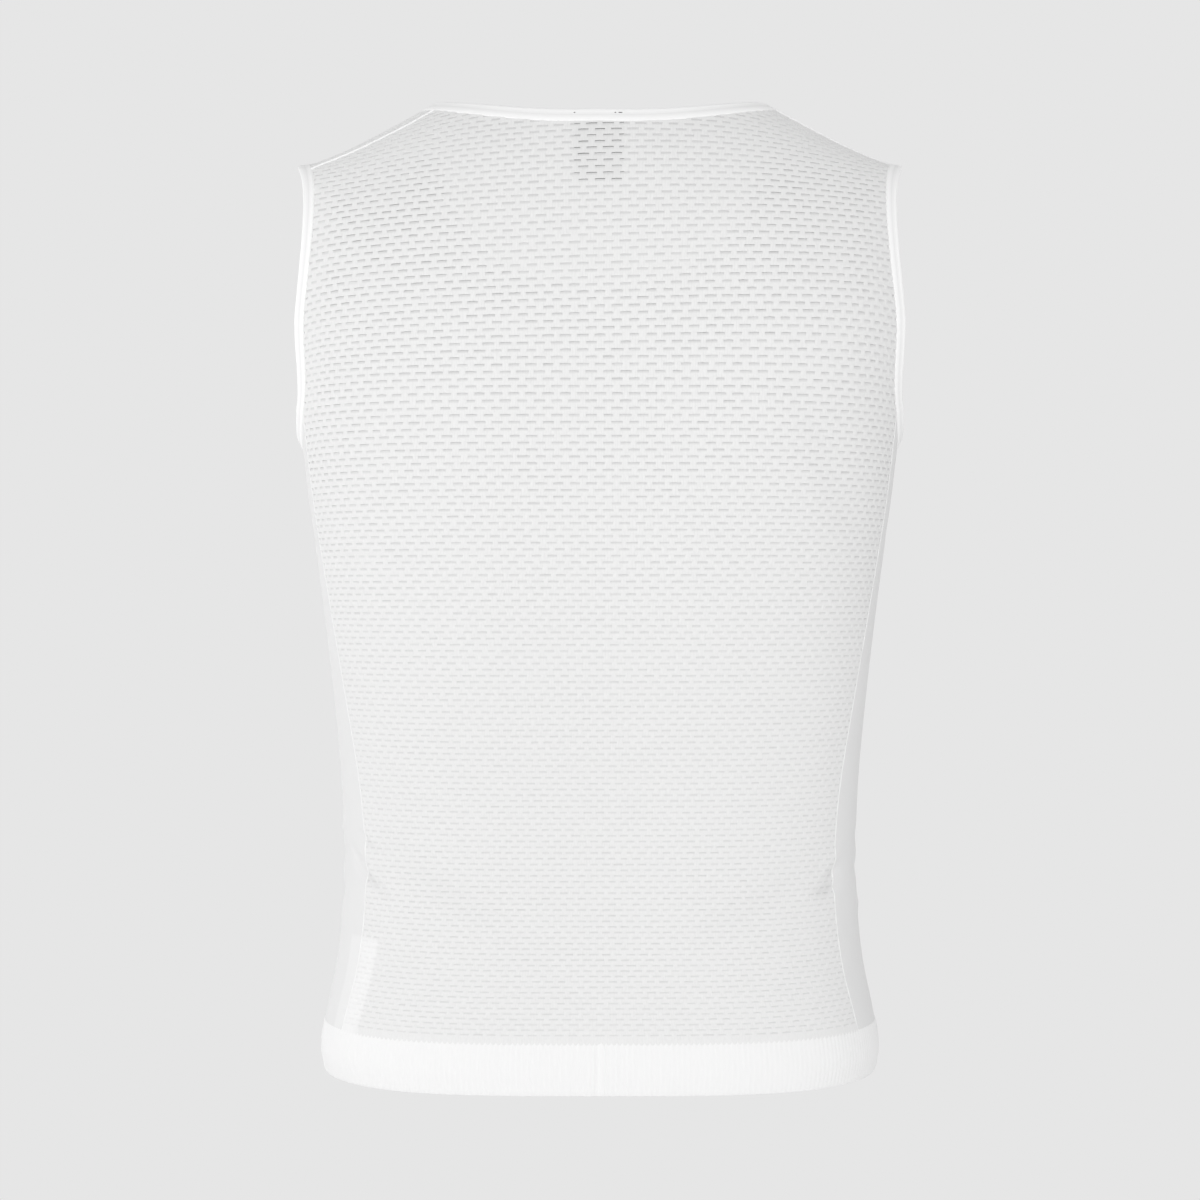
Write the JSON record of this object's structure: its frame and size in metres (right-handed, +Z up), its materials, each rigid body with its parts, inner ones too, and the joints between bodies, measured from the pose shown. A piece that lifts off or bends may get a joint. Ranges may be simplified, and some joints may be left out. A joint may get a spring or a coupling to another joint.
{
  "type": "sleeveless base layer",
  "caption": "Close-fitting sleeveless base layer top in openwork mesh knit with plain side panels, a ribbed hem band and bound neck and armholes, in its hollow worn form.",
  "frame": {"origin": "on the middle plane of the garment, about level with the middles of the two shoulder seams, where the wearer's shoulders hold it", "axes": "+X towards the wearer's left, +Y out of the wearer's back, -Y out of the chest, +Z up"},
  "size_m": [0.371, 0.2376, 0.5864],
  "materials": {
    "mesh_knit": "white openwork mesh knit, soft and matt",
    "plain_knit": "white fine plain knit, slight sheen",
    "rib_knit": "white fine rib knit, matt",
    "binding": "bright white smooth binding, slight sheen",
    "neck_label": "black plain woven tape, bare",
    "care_label": "white plain woven tape, bare"
  },
  "bodies": {
    "root": {"back_panel": "mesh_knit", "front_panel": "mesh_knit", "side_panel_left": "plain_knit", "side_panel_right": "plain_knit", "hem_band": "rib_knit", "neck_binding": "binding", "armhole_binding_left": "binding", "armhole_binding_right": "binding", "neck_label": "neck_label", "care_label": "care_label"}
  },
  "joints": []
}
